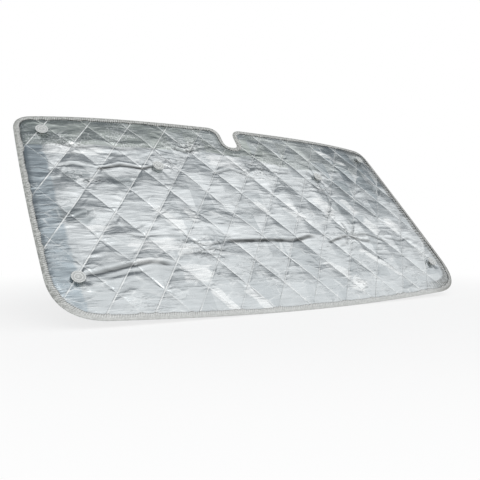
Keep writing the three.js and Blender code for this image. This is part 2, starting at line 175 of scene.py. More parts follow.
def diamonds(u, v):
    """Each point's diamond, by number, and its share of the way between that diamond's seams."""
    a = (u - PATTERN_ACROSS) / DIAMOND_WIDTH + (v - PATTERN_UP) / DIAMOND_HEIGHT
    b = (u - PATTERN_ACROSS) / DIAMOND_WIDTH - (v - PATTERN_UP) / DIAMOND_HEIGHT
    return np.floor(a), np.floor(b), a - np.floor(a), b - np.floor(b)


def own(i, j, least, most, kind):
    """A value of each diamond's own between least and most, irregular but the same in every run."""
    wave = 1000 * np.sin(13 * i + 78 * j + kind)
    return least + (most - least) * (wave - np.floor(wave))


def eased(x, low, high):
    """Rises softly from 0 at low to 1 at high."""
    t = np.clip((x - low) / (high - low), 0, 1)
    return t * t * (3 - 2 * t)


BUMP_TABLE = 64


def bumps(x, y, seed):
    """Soft random heights from -1 to 1, about one bump to each unit, the same in every run."""
    table = np.random.default_rng(seed).uniform(-1, 1, (BUMP_TABLE, BUMP_TABLE))
    x, y = np.broadcast_arrays(x, y)
    i, j = np.floor(x).astype(int), np.floor(y).astype(int)
    s, t = eased(x - i, 0, 1), eased(y - j, 0, 1)
    i, j, after_i, after_j = (k % BUMP_TABLE for k in (i, j, i + 1, j + 1))
    near = table[i, j] * (1 - s) + table[after_i, j] * s
    far = table[i, after_j] * (1 - s) + table[after_i, after_j] * s
    return near * (1 - t) + far * t


WIDEST_CELL = 38.0
CROWDED = 0.4
EYELET_HOLE = 5.0


def quilted_net(steps):
    """A net of points whose lines follow the seams and crowd near them, trimmed to the mat's plan."""
    share = np.linspace(0, 1, steps, endpoint=False)
    share = share - CROWDED * np.sin(2 * np.pi * share) / (2 * np.pi)
    reach = int(HALF_WIDTH_BOTTOM / DIAMOND_WIDTH + MAT_HEIGHT / 2 / DIAMOND_HEIGHT) + 1
    line = np.concatenate([cell + share for cell in range(-reach, reach)])
    a, b = np.meshgrid(line, line, indexing="ij")
    u = PATTERN_ACROSS + DIAMOND_WIDTH / 2 * (a + b)
    v = PATTERN_UP + DIAMOND_HEIGHT / 2 * (a - b)
    near = (np.abs(u) < HALF_WIDTH_BOTTOM) & (np.abs(v) < MAT_HEIGHT / 2)
    number = -np.ones(u.shape, int)
    number[near] = np.arange(near.sum())
    u, v = u[near], v[near]
    inset, nearest = edge_inset(u, v)
    kept = inset > EDGE_INSET
    for place in CUP_PLACES.values():
        kept &= np.hypot(u - place[0], v - place[1]) > EYELET_HOLE
    quads = np.stack([number[:-1, :-1], number[1:, :-1], number[1:, 1:], number[:-1, 1:]], -1)
    quads = quads.reshape(-1, 4)
    quads = quads[(quads >= 0).all(1)]
    quads = quads[kept[quads].all(1)]
    sides = np.sort(np.stack([quads, np.roll(quads, -1, 1)], -1).reshape(-1, 2), 1)
    unique, times = np.unique(sides, axis=0, return_counts=True)
    rim = np.unique(unique[times == 1])
    for k in rim:
        away = {name: math.hypot(u[k] - p[0], v[k] - p[1]) for name, p in CUP_PLACES.items()}
        name = min(away, key=away.get)
        if inset[k] > WIDEST_CELL + EDGE_INSET:
            place = CUP_PLACES[name]
            u[k] = place[0] + (u[k] - place[0]) * EYELET_HOLE / away[name]
            v[k] = place[1] + (v[k] - place[1]) * EYELET_HOLE / away[name]
        else:
            u[k] -= EDGE_INWARD[nearest[k], 0] * (inset[k] - EDGE_INSET)
            v[k] -= EDGE_INWARD[nearest[k], 1] * (inset[k] - EDGE_INSET)
    used, quads = np.unique(quads, return_inverse=True)
    return u[used], v[used], quads.reshape(-1, 4)


def in_scene(name, data):
    """An object of this data, put in the scene."""
    obj = bpy.data.objects.new(name, data)
    bpy.context.scene.collection.objects.link(obj)
    return obj


def piece(name, points, faces, material, slot):
    """A smooth mesh in the frame, riding with the mat."""
    mesh = bpy.data.meshes.new(name)
    mesh.from_pydata(np.asarray(points).tolist(), [], [list(map(int, f)) for f in faces])
    mesh.materials.append(material)
    mesh.polygons.foreach_set("use_smooth", [True] * len(mesh.polygons))
    mesh.validate()
    obj = in_scene(name, mesh)
    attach(obj, "root")
    return obj


def mark(obj, name, values):
    """Gives each point of a piece a value that its finish reads by this name."""
    marks = obj.data.attributes.new(name, "FLOAT", "POINT")
    marks.data.foreach_set("value", np.asarray(values, np.float32))


class Wire:
    """A value in a material. Sums written with it add the Math nodes that work them out."""

    def __init__(self, finish, socket):
        self.finish = finish
        self.socket = socket

    def maths(self, operation, *others):
        sockets = dict(enumerate((self, *others)))
        return self.finish.node("ShaderNodeMath", {"operation": operation}, sockets)

    def __add__(self, other):
        return self.maths("ADD", other)

    def __sub__(self, other):
        return self.maths("SUBTRACT", other)

    def __rsub__(self, other):
        return self * -1 + other

    def __mul__(self, other):
        return self.maths("MULTIPLY", other)

    def __truediv__(self, other):
        return self.maths("DIVIDE", other)

    __radd__ = __add__
    __rmul__ = __mul__


class Finish:
    """A material, with the one way in which its nodes are added."""

    def __init__(self, name, **constants):
        self.material = bpy.data.materials.new(name)
        self.material.use_nodes = True
        self.tree = self.material.node_tree
        self.shader = self.tree.nodes["Principled BSDF"]
        for socket, value in constants.items():
            self.shader.inputs[socket.replace("_", " ")].default_value = value

    def node(self, kind, settings, inputs, out=0):
        """Adds a node: its type, its settings, then the values or wires of its sockets."""
        made = self.tree.nodes.new(kind)
        for name, value in settings.items():
            setattr(made, name, value)
        for key, value in inputs.items():
            self.feed(made.inputs[key], value)
        return Wire(self, made.outputs[out])

    def feed(self, socket, value):
        if isinstance(value, Wire):
            self.tree.links.new(value.socket, socket)
        else:
            socket.default_value = value

    def set(self, **sockets):
        for socket, value in sockets.items():
            self.feed(self.shader.inputs[socket.replace("_", " ")], value)

    def measure(self, operation, a, b):
        """One number from two vectors."""
        return self.node("ShaderNodeVectorMath", {"operation": operation}, {0: a, 1: b}, "Value")

    def flat(self, across, up, turn=0.0):
        """The place on the mat, laid flat, as a vector with so many units to the metre each way."""
        place = self.node("ShaderNodeTexCoord", {}, {}, "Object")
        c, s = math.cos(turn), math.sin(turn)
        u_axis, v_axis = Vector((1, 0, 0)), Vector((0, math.cos(SLOPE), math.sin(SLOPE)))
        lines = [(u_axis * c + v_axis * s) * across, (v_axis * c - u_axis * s) * up]
        u, v = (self.measure("DOT_PRODUCT", place, line) for line in lines)
        return self.node("ShaderNodeCombineXYZ", {}, {"X": u, "Y": v}), u, v

    def noise(self, across, up, detail=2.0, roughness=0.5, distortion=0.0, turn=0.0):
        """Cloudy values about 0.5, with so many clouds to the metre each way."""
        sockets = {"Vector": self.flat(across, up, turn)[0], "Scale": 1.0, "Detail": detail}
        sockets.update({"Roughness": roughness, "Distortion": distortion})
        return self.node("ShaderNodeTexNoise", {}, sockets)

    def marked(self, name):
        """The value that each point of the piece was given by this name."""
        return self.node("ShaderNodeAttribute", {"attribute_name": name}, {}, "Fac")

    def seams(self):
        """The place on the mat from its middle, and counted in seams of each family."""
        _, u, v = self.flat(1, 1)
        u, v = u - MIDDLE_U, v - MIDDLE_V
        across = u / (DIAMOND_WIDTH * MM) - PATTERN_ACROSS / DIAMOND_WIDTH
        up = v / (DIAMOND_HEIGHT * MM) - PATTERN_UP / DIAMOND_HEIGHT
        return u, v, across + up, across - up

    def ease(self, value, low, high, start=0.0, end=1.0):
        """Goes softly from start to end as the value goes from low to high."""
        sockets = {"Value": value, "From Min": low, "From Max": high, "To Min": start, "To Max": end}
        return self.node("ShaderNodeMapRange", {"interpolation_type": "SMOOTHSTEP"}, sockets)

    def mix(self, share, a, b):
        """Colour a, turning to b as the share goes from 0 to 1."""
        return self.node("ShaderNodeMix", {"data_type": "RGBA"}, {0: share, 6: a, 7: b}, 2)

    def layered(self, colour, *layers):
        """A colour with others laid over it in turn, each by its own share."""
        for share, over in layers:
            colour = self.mix(share, colour, over)
        return colour

    def relief(self, height, depth):
        """A surface whose own height stands so many metres high."""
        sockets = {"Height": height, "Distance": depth, "Strength": 1.0}
        return self.node("ShaderNodeBump", {}, sockets)


LINING_THICKNESS = 0.5
LINING_FACE = -2.6
LINING_PUFF = 3.0
LINING_GREY = (0.17, 0.175, 0.18, 1)
LINING_GREY_LIGHT = (0.27, 0.275, 0.28, 1)
LINING_RUBBED = (0.33, 0.33, 0.33, 1)
LINING_SHADE = (0.06, 0.062, 0.065, 1)
THREADS_PER_METRE = 900


def lining_depth(u, v, inset):
    """How far behind the foil's seams the lining lies."""
    i, j, a, b = diamonds(u, v)
    full = (np.sin(np.pi * a) * np.sin(np.pi * b)) ** 0.7 * own(i, j, 0.8, 1.15, 1)
    ripple = 0.25 * bumps(u / 34, v / 21, 11) + 0.15 * bumps(u / 13, v / 15, 12)
    return LINING_FACE - (LINING_PUFF * full + ripple * full) * eased(inset, BINDING_WIDTH, 46)


lining_finish = Finish("lining_cloth", Roughness=0.86, Sheen_Weight=0.25, Sheen_Roughness=0.5)
_, lining_u, lining_v = lining_finish.flat(1, 1)
_, _, falling, rising = lining_finish.seams()
warp = (lining_u * (THREADS_PER_METRE * 2 * math.pi)).maths("SINE")
weft = (lining_v * (THREADS_PER_METRE * 2 * math.pi)).maths("SINE")
weave = warp * weft * 0.5 + 0.5
slub = lining_finish.noise(60, 700, detail=3.0)
rubbed = lining_finish.noise(9, 9, detail=4.0, roughness=0.6)
by_seam = falling.maths("PINGPONG", 0.5).maths("MINIMUM", rising.maths("PINGPONG", 0.5))
lining_finish.set(
    Base_Color=lining_finish.layered(
        LINING_GREY,
        (weave * 0.5 + slub * 0.5, LINING_GREY_LIGHT),
        (lining_finish.ease(rubbed, 0.45, 0.75, 0, 0.25), LINING_RUBBED),
        # painted shade along the seams
        (lining_finish.ease(by_seam, 0.0, 0.07, 0.55, 0), LINING_SHADE),
    ),
    Normal=lining_finish.relief(weave * 0.6 + slub * 0.5, 0.0004),
)

net_u, net_v, net_faces = quilted_net(12)
net_inset, _ = edge_inset(net_u, net_v)
back_depth = lining_depth(net_u, net_v, net_inset)


def closed_layer(u, v, front, back, faces):
    """A closed solid between a net at its front height, facing out, and at its back height."""
    count = len(u)
    sides = np.stack([faces, np.roll(faces, -1, 1)], -1).reshape(-1, 2)
    keys = {tuple(side) for side in sides.tolist()}
    rim = [(p, q) for p, q in keys if (q, p) not in keys]
    walls = [(q, p, p + count, q + count) for p, q in rim]
    points = np.vstack([on_sheet(u, v, front), on_sheet(u, v, back)])
    return points, [*faces.tolist(), *(faces[:, ::-1] + count).tolist(), *walls]


lining = closed_layer(net_u, net_v, back_depth + LINING_THICKNESS, back_depth, net_faces)
inner_cloth = piece("inner_cloth", *lining, lining_finish.material, "lining")
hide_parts("inner_lining")

# The outer foil: thin aluminised film, bright and hard, sewn down in diamonds over the felt. It keeps the
# creases of being rolled up: long sharp folds, and fine streaks that run across the mat.

FOIL_PUFF = 6.4
FACET_EDGE = 26.0
SHORT_CREASES = 380
LOFT_LIMIT = 10.0
BAND_FOOT = (270, 218)
FOLDS = [
    # points along the fold, its depth, its half width and the height of the ridge above it
    ([(-230, -138), (-119, -140), (47, -140), (119, -132), (185, -122)], 4.2, 7.0, 1.2),
    ([(215, -150), (280, -138), (336, -122)], 3.8, 5.0, 1.0),
    ([(336, -120), (392, -140), (440, -150)], 3.8, 5.0, 1.0),
    ([(350, -116), (430, -118), (480, -128), (540, -150)], 3.4, 5.0, 1.4),
    ([(520, -128), (600, -140), (690, -122)], 2.6, 5.0, 1.0),
    ([(336, -118), (318, -92), (290, -76)], 2.6, 4.5, 1.4),
    ([(338, -116), (346, -80), (340, -50)], 2.8, 4.5, 1.4),
    ([(338, -120), (376, -96), (400, -60)], 2.2, 4.5, 1.2),
    ([(334, -124), (300, -160), (262, -168)], 2.6, 4.5, 1.2),
    ([(354, -132), (428, -156), (500, -150)], 2.0, 5.0, 0.8),
    ([(420, -196), (442, -200), (554, -216), (620, -214)], 2.0, 5.0, 1.0),
    ([(-705, -242), (-651, -238), (-607, -231), (-560, -220), (-498, -213), (-415, -221)], 3.6, 7.0, 2.0),
    ([(-640, -262), (-560, -243), (-480, -236), (-400, -240)], 1.8, 6.0, 0.8),
    ([(-575, 163), (-537, 172), (-484, 182), (-411, 174), (-352, 186)], 4.0, 5.5, 2.4),
    ([(-660, 277), (-612, 267), (-530, 270), (-445, 266), (-330, 271)], 2.4, 9.0, 1.8),
    ([(20, 207), (88, 205), (160, 195), (230, 193)], 2.4, 5.0, 1.0),
    ([(-150, 166), (-64, 188), (10, 167)], 2.8, 5.0, 1.6),
    ([(-545, -114), (-436, -113), (-330, -110)], 1.8, 6.0, 1.2),
    ([(329, 190), (343, 158), (346, 98), (341, 44), (305, -9), (274, -35)], 2.2, 5.0, 2.6),
    ([(262, -18), (292, -36)], 2.4, 4.5, 1.0),
    ([(-690, 176), (-640, 180), (-600, 172)], 2.0, 7.0, 2.0),
    ([(-339, -127), (-311, -148), (-280, -160), (-227, -140)], 2.6, 5.0, 1.6),
    ([(-391, -182), (-324, -183), (-273, -188)], 2.0, 4.5, 1.2),
    ([(-310, -172), (-262, -170), (-224, -178)], 2.2, 4.5, 1.4),
    ([(-275, 282), (-221, 266), (-150, 294), (-81, 306), (-40, 300)], 2.6, 6.0, 2.0),
    ([(50, 296), (110, 283), (180, 290), (260, 279)], 2.2, 7.0, 1.6),
]
CRUSHED_PLACES = [
    # middle, spread and number of creases
    (-283, -158, 70, 46),
    (345, -120, 70, 44),
    (-190, 284, 90, 30),
    (298, -22, 40, 14),
    (-305, 196, 50, 16),
    (690, -205, 50, 14),
    (60, 200, 110, 20),
    (-600, 120, 70, 16),
    (-620, 270, 60, 14),
    (330, 120, 60, 14),
    (250, -335, 60, 16),
]
RIDGE = [(345, -184), (397, -219), (440, -257), (500, -316)]
BULGE = (264, -338)


def from_line(u, v, line):
    """Distance from a line of points, signed above it, and how far along it is, from 0 to 1."""
    line = np.array(line, float)
    lengths = np.linalg.norm(np.diff(line, axis=0), axis=1)
    best = np.full(len(u), 1e9)
    signed, along = np.zeros(len(u)), np.zeros(len(u))
    for k, (p, q) in enumerate(zip(line[:-1], line[1:])):
        step = (q - p) / lengths[k]
        t = np.clip((u - p[0]) * step[0] + (v - p[1]) * step[1], 0, lengths[k])
        off_u, off_v = u - p[0] - t * step[0], v - p[1] - t * step[1]
        away = np.hypot(off_u, off_v)
        nearer = away < best
        best[nearer] = away[nearer]
        side = np.sign(off_v * step[0] - off_u * step[1])
        signed[nearer] = (away * side)[nearer]
        along[nearer] = ((lengths[:k].sum() + t) / lengths.sum())[nearer]
    return signed, along


SEAM_SPACING = DIAMOND_WIDTH * DIAMOND_HEIGHT / math.hypot(DIAMOND_WIDTH, DIAMOND_HEIGHT)


def along_fold(u, v, line, depth):
    """How far each point lies above a fold, which strays from its line, and how open the fold is there."""
    stray = 3.0 * bumps(u / 45, v / 400, int(depth * 10) + len(line))
    off, along = from_line(u, v + stray, line)
    return off, eased(along, 0, 0.12) * (1 - eased(along, 0.85, 1))


def add_crease(height, u, v, random, middle, turn, lengths, sizes, shape):
    """Adds a short step with one sharp edge. shape is its edge, how far it dies away and its whole reach."""
    half = random.uniform(*lengths) * np.array([np.cos(turn), np.sin(turn)])
    size = random.uniform(*sizes) * random.choice([-1, 1])
    edge, dying, reach = shape
    near = np.hypot(u - middle[0], v - middle[1]) < reach
    off, along = from_line(u[near], v[near], [middle - half, middle + half])
    height[near] += size * np.tanh(off / edge) * np.exp(-np.abs(off) / dying) * np.sin(np.pi * along)


GROOVE_DEPTH, GROOVE_HALF_WIDTH = 0.5, 2.4
BAND_HEIGHT = 3.0
RIDGE_HEIGHT, RIDGE_HALF_WIDTH = 4.0, 15
BULGE_HEIGHT = 3.4
STRIP_EDGE, STRIP_HEIGHT = 702, 3.4
GATHER_PITCH = 13.5
FOIL_LEAST, FOIL_MOST = -0.2, 10.4


def foil_relief(u, v, inset, nearest):
    """How far the foil stands proud of its seams, in millimetres, with every crease and pucker."""
    i, j, a, b = diamonds(u, v)
    full = np.sin(np.pi * a) * np.sin(np.pi * b)

    # each diamond is four nearly flat facets that meet at a point of its own, or a rounder pillow
    peak_a, peak_b = own(i, j, 0.3, 0.7, 2), own(i, j, 0.3, 0.7, 3)
    rises = np.stack([a / peak_a, (1 - a) / (1 - peak_a), b / peak_b, (1 - b) / (1 - peak_b)])
    facets = -np.log(np.exp(-FACET_EDGE * rises).sum(0)) / FACET_EDGE
    stiff = own(i, j, 0.35, 1.0, 4)
    loft = FOIL_PUFF * own(i, j, 0.5, 1.4, 1) * (1 + 0.45 * eased(u, 100, 500))
    height = loft * (stiff * facets + (1 - stiff) * full**0.8)

    # the loft of the felt is uneven, mostly in long waves across the mat
    height += 1.6 + 2.4 * bumps(u / 190, v / 66, 20) + 0.9 * bumps(u / 110, v / 30, 24)
    height += 1.5 * bumps(i + a, j + b, 25)

    # short creases all over, where the stiff film has buckled
    random = np.random.default_rng(7)
    for _ in range(SHORT_CREASES):
        middle = random.uniform((-760, -390), (760, 390))
        turn = random.normal(0, 0.28) if random.random() < 0.6 else random.uniform(-1.1, 1.1)
        add_crease(height, u, v, random, middle, turn, (18, 62), (0.4, 1.3), (1.6, 11, 90))

    # and crowded, smaller ones where the film has been crushed
    for place_u, place_v, spread, count in CRUSHED_PLACES:
        for _ in range(count):
            middle = random.normal((place_u, place_v), spread / 2)
            turn = random.uniform(-1.4, 1.4)
            add_crease(height, u, v, random, middle, turn, (7, 22), (0.7, 1.7), (1.3, 6, 45))

    # streaks across the mat from the roller
    streak = bumps(u / 90, v / 8.0, 31) + 0.8 * bumps(u / 55, v / 6.0 + u / 260, 32)
    height += 0.10 * (0.6 + 0.4 * bumps(u / 120, v / 60, 34)) * streak

    # short gathers that run in to each corner of a diamond
    half_u, half_v = DIAMOND_WIDTH / 2, DIAMOND_HEIGHT / 2
    row = np.round((v - PATTERN_UP) / half_v)
    column = 2 * np.round(((u - PATTERN_ACROSS) / half_u - row) / 2) + row
    du, dv = u - PATTERN_ACROSS - column * half_u, v - PATTERN_UP - row * half_v
    away, turn = np.hypot(du, dv), np.arctan2(dv, du)
    spokes = np.sin(turn * 7 + own(row, column, 0, 6, 6))
    spokes += 0.6 * np.sin(turn * 13 + own(row, column, 0, 6, 7))
    pull = own(row, column, 0.2, 1.2, 8)
    height += pull * 0.8 * spokes * np.exp(-((away / 26) ** 2)) * eased(away, 0, 9)
    height -= 0.8 * np.exp(-((away / 9) ** 2))

    # the seams themselves are pulled down into a narrow groove
    to_seam = SEAM_SPACING * np.minimum(np.minimum(a, 1 - a), np.minimum(b, 1 - b))
    height -= GROOVE_DEPTH * np.exp(-((to_seam / GROOVE_HALF_WIDTH) ** 2))

    # long folds, each a groove with a ridge above it and a lower one below
    for line, depth, width, ridge in FOLDS:
        off, fade = along_fold(u, v, line, depth)
        uneven = 0.8 + 0.35 * bumps(u / 30, v / 300, 41)
        height -= depth * fade * uneven * np.exp(-((np.abs(off) / width) ** 1.4))
        for rim, side in ((0.8, -1), (0.4, 1)):
            height += rim * ridge * fade * np.exp(-(((off + side * 1.9 * width) / width) ** 2))

    # a flattened fold below the top, steeper on its lower side
    below = BAND_FOOT[0] + (BAND_FOOT[1] - BAND_FOOT[0]) * eased(u, -150, 300) - v
    dying = np.where(below > 0, 26, 70)
    height += BAND_HEIGHT * (0.75 + 0.5 * bumps(u / 150, v / 400, 26)) * np.exp(-np.abs(below) / dying)
    height = LOFT_LIMIT * np.tanh(height / LOFT_LIMIT)

    # the one sharp ridge and the bulge at the lower right
    off, along = from_line(u, v, RIDGE)
    height += RIDGE_HEIGHT * np.sin(np.pi * along) * np.exp(-((np.abs(off) / RIDGE_HALF_WIDTH) ** 1.5))
    height += BULGE_HEIGHT * np.exp(-(np.abs(u - BULGE[0]) / 24) - np.abs(v - BULGE[1]) / 28)

    # the film is drawn in round each eyelet, and puckers like the spokes of a wheel
    for k, place in enumerate(CUP_PLACES.values()):
        du, dv = u - place[0], v - place[1]
        away, turn = np.hypot(du, dv), np.arctan2(dv, du)
        height *= eased(away, 8, 44)
        spokes = np.sin(7 * turn + 2.1 * k) + 0.6 * np.sin(11 * turn + 1.3 * k + 0.02 * away)
        height += 0.9 * spokes * eased(away, 9, 24) * (1 - eased(away, 30, 74))

    # at the left it lies in a flat strip with fine hairs
    height *= 0.45 + 0.55 * eased(inset, 30, 130)
    strip = eased(-u, STRIP_EDGE - 8 * bumps(v / 16, 0, 52), STRIP_EDGE + 14) * eased(v, -330, -240)
    hairs = 0.35 * bumps(u / 40, v / 7.0, 53) + 0.5 * bumps(u / 90, v / 45, 54)
    height = height * (1 - strip) + (STRIP_HEIGHT + hairs) * strip

    # it dies away to the binding, in small gathers square to the edge
    height *= eased(inset, BINDING_WIDTH - 2, 40 - 10 * strip)
    along_edge = nearest * EDGE_STEP
    ribs = np.sin(along_edge / GATHER_PITCH * 2 * np.pi + 2 * bumps(along_edge / 60, 0, 51))
    gathers = (0.6 + 1.2 * eased(u, 500, 760)) * (1 - strip) * (0.6 + 0.4 * ribs)
    height += gathers * eased(inset, 15, 24) * (1 - eased(inset, 28, 50))
    return np.clip(height, FOIL_LEAST, FOIL_MOST)


DEEPEST_FOLD = 4.2


def fold_shade(u, v, inset):
    """How much painted shade lies along the bottom of each sharp fold and beside the binding, from 0 to 1."""
    shading = np.zeros(len(u))
    for line, depth, width, _ in FOLDS:
        off, fade = along_fold(u, v, line, depth)
        uneven = np.minimum(1, 0.95 + 0.3 * bumps(u / 30, v / 300, 41))
        across = np.exp(-((off / (1.15 * width)) ** 4))
        shading = np.maximum(shading, (depth / DEEPEST_FOLD) ** 2.2 * fade * uneven * across)
    # painted shadow along the binding's inner edge, strongest at the left
    binding_shadow = (1 - eased(inset, 17.5, 22)) * (0.3 + 0.7 * eased(-u, 600, 720))
    return np.maximum(shading, binding_shadow * (0.65 + 0.35 * bumps(u / 14, v / 14, 42)))


GLARE_FACES = [
    # painted highlights, where faces of the film catch the light: middle, half sizes and turn in degrees
    (-380, -50, 60, 20, -55),
    (-360, -260, 50, 30, 0),
    (-300, -360, 55, 15, -55),
    (-180, -370, 55, 15, -55),
    (-370, -170, 30, 20, 0),
    (-460, -150, 80, 20, 0),
    (0, 10, 40, 10, -55),
    (300, 30, 50, 25, -55),
    (490, -70, 40, 25, -55),
    (630, -60, 40, 25, -55),
    (430, 30, 40, 15, -55),
    (190, -270, 50, 20, -30),
    (420, -250, 90, 10, -40),
    (250, -340, 30, 25, 55),
    (510, 310, 80, 10, -30),
    (-620, 250, 90, 20, 0),
    (-80, 230, 60, 30, 0),
    (-300, -30, 30, 15, -55),
    (130, -10, 40, 25, -55),
    (-610, -80, 40, 10, 0),
    (-500, -210, 40, 10, 0),
]
SHADED_FACES = [
    # and painted shade, where faces of the film lie darker
    (-640, 130, 40, 20, 0),
    (-680, -30, 50, 30, 0),
    (-500, 110, 40, 20, 0),
    (450, 130, 60, 40, -55),
    (370, 0, 60, 20, -55),
    (530, 20, 60, 20, -55),
    (690, 140, 60, 30, -55),
]


def faces_share(u, v, places):
    """How far each point lies in one of the faces, from 0 to 1: a sharp upper edge, a softer lower one."""
    share = np.zeros(len(u))
    for middle_u, middle_v, half_along, half_across, turn in places:
        near = np.hypot(u - middle_u, v - middle_v) < 1.5 * half_along + half_across
        c, s = math.cos(math.radians(turn)), math.sin(math.radians(turn))
        du, dv = u[near] - middle_u, v[near] - middle_v
        along = (du * c + dv * s) / half_along + 0.3 * bumps(u[near] / 60, v[near] / 9, 44)
        across = (dv * c - du * s) / half_across + 0.25 * bumps(u[near] / 17, v[near] / 40, 43)
        inside = (1 - eased(across, 0.85, 1.05)) * eased(across, -1.3, -0.7)
        share[near] = np.maximum(share[near], inside * (1 - eased(np.abs(along), 0.8, 1.1)))
    return share


SILVER = (0.89, 0.925, 0.94, 1)
SILVER_DULL = (0.60, 0.635, 0.65, 1)
LEFT_EDGE_SHADE = (0.44, 0.51, 0.555, 1)
UPPER_RIGHT_SHADE = (0.29, 0.335, 0.36, 1)
SHADED_FACET = (0.49, 0.53, 0.55, 1)
FACE_SHADE_GREY = (0.33, 0.37, 0.385, 1)
TOP_BAND_SHADE = (0.44, 0.485, 0.455, 1)
CREASE_SHADE = (0.06, 0.063, 0.063, 1)
RIGHT_EDGE_SHADE = (0.16, 0.16, 0.148, 1)
HIGHLIGHT_WHITE = (0.93, 0.95, 0.95, 1)
GLINT_HALF_WIDTH = (0.0010, 0.0026)
SHADE_HALF_WIDTH = (0.0008, 0.0022)
SHADE_BESIDE = 0.0026
SEAM_METRES = SEAM_SPACING * MM

foil = Finish("aluminised_film", IOR=1.45)
foil_u, foil_v, falling, rising = foil.seams()
patches = foil.noise(6, 11, detail=3.0, roughness=0.55, distortion=0.4)
streaks = foil.noise(10, 120, detail=3.0, roughness=0.6, distortion=0.1)
fine_streaks = foil.noise(15, 175, detail=2.5, roughness=0.55)
scrim = foil.noise(330, 300, detail=1.0)
crinkle = (foil.noise(17, 58, detail=2.5, roughness=0.55, distortion=0.45) - 0.5).maths("ABSOLUTE")
wrinkles = foil.noise(19, 70, detail=3.0, roughness=0.6, distortion=0.9)
lively = foil.ease(foil.noise(7, 17), 0.40, 0.62, 0.3, 1.0)
broken = foil.ease(foil.noise(28, 28), 0.36, 0.58, 0.25, 1.0)
cells = {"Vector": foil.flat(11, 27)[0], "Scale": 1.0}
crumple = foil.node("ShaderNodeTexVoronoi", {"feature": "F1"}, cells)
cell_edge = foil.node("ShaderNodeTexVoronoi", {"feature": "DISTANCE_TO_EDGE"}, cells)

# painted shade: darker low down, and in a band along the top broken by lighter dots; and a blue-grey painted
# shade along the left edge
by_right = foil.ease(foil_u, -0.55, -0.15)
ragged = (patches - 0.5) * 0.03 + (fine_streaks - 0.5) * 0.02
left_edge_share = foil.ease(foil_u + ragged, -0.718, -0.707, 0.85, 0)
band_foot = foil.ease(foil_u, -0.15, 0.30, BAND_FOOT[0] * MM, BAND_FOOT[1] * MM)
top_shade_share = foil.ease(foil_v - band_foot + (patches - 0.5) * 0.022, -0.001, 0.004)
top_shade_share = top_shade_share * foil.ease(foil_u, 0.05, 0.45, 0.85, 0.45)
dots = foil.ease(foil.noise(230, 130, detail=0.0), 0.52, 0.66) * foil.ease(patches, 0.42, 0.56) * top_shade_share

# along the seams, a painted highlight on one line and a painted shade on the other
to_falling = falling.maths("PINGPONG", 0.5) * SEAM_METRES
to_rising = rising.maths("PINGPONG", 0.5) * SEAM_METRES
to_shade = (rising + SHADE_BESIDE / SEAM_METRES).maths("PINGPONG", 0.5) * SEAM_METRES
glint_falling = foil.ease(to_falling, *GLINT_HALF_WIDTH, 1, 0) * (by_right * 0.55 + 0.3)
glint_rising = foil.ease(to_rising, *GLINT_HALF_WIDTH, 1, 0) * (0.9 - by_right * 0.65)
seam_glint = glint_falling.maths("MAXIMUM", glint_rising) * broken
shade_line = foil.ease(to_shade, *SHADE_HALF_WIDTH, 0.35, 0) * broken

# painted shade: each facet gets a darker tone of its own at random, stronger to the right and darkest at the
# upper right, standing in for the light its tilt catches
on_falling = to_falling.maths("LESS_THAN", to_rising)
high_falling = falling.maths("FRACT").maths("LESS_THAN", 0.5)
high_rising = rising.maths("FRACT").maths("LESS_THAN", 0.5)
which = on_falling * (high_falling + 2) + (1 - on_falling) * high_rising
facet = {"X": falling.maths("FLOOR"), "Y": rising.maths("FLOOR"), "Z": which}
facet = foil.node("ShaderNodeCombineXYZ", {}, facet)
facet_shade = foil.node("ShaderNodeTexWhiteNoise", {"noise_dimensions": "3D"}, {"Vector": facet})
by_upper_right = foil.ease(foil_u, 0.25, 0.55) * foil.ease(foil_v, -0.12, 0.16)
# painted highlights and painted shade on the listed faces
face = foil.marked("face")
glare_share = foil.ease(face, 0, 0.8) * foil.ease(fine_streaks, 0.42, 0.58, 1, 0.6)
glare_share = glare_share * foil.ease(streaks, 0.42, 0.62, 1, 0.55)
face_shade_share = foil.ease(face, 0, -0.8, 0, 0.7) * foil.ease(patches, 0.35, 0.6, 0.6, 1)

# where the film is crushed, each small crease gets a painted highlight on its crest and a painted shade on
# one side, and a few painted crest highlights run all over
crushed = foil.marked("crushed") * 0.7 + foil.ease(patches, 0.5, 0.62, 0, 0.25)
crest_glint = foil.ease((wrinkles - 0.5).maths("ABSOLUTE"), 0.012, 0.045, 1, 0) * crushed
crest_glint = crest_glint.maths("MAXIMUM", foil.ease(cell_edge, 0.012, 0.045, 0.45, 0) * lively * broken)
dark_side = foil.ease((wrinkles - 0.57).maths("ABSOLUTE"), 0.010, 0.040, 1, 0) * crushed

film = (streaks * 0.5 + fine_streaks * 0.75 + scrim * 0.1) * (lively * 0.7 + 0.3)
buckled = crinkle * lively * 2.0 + crumple * (lively * 1.6 + 0.6)
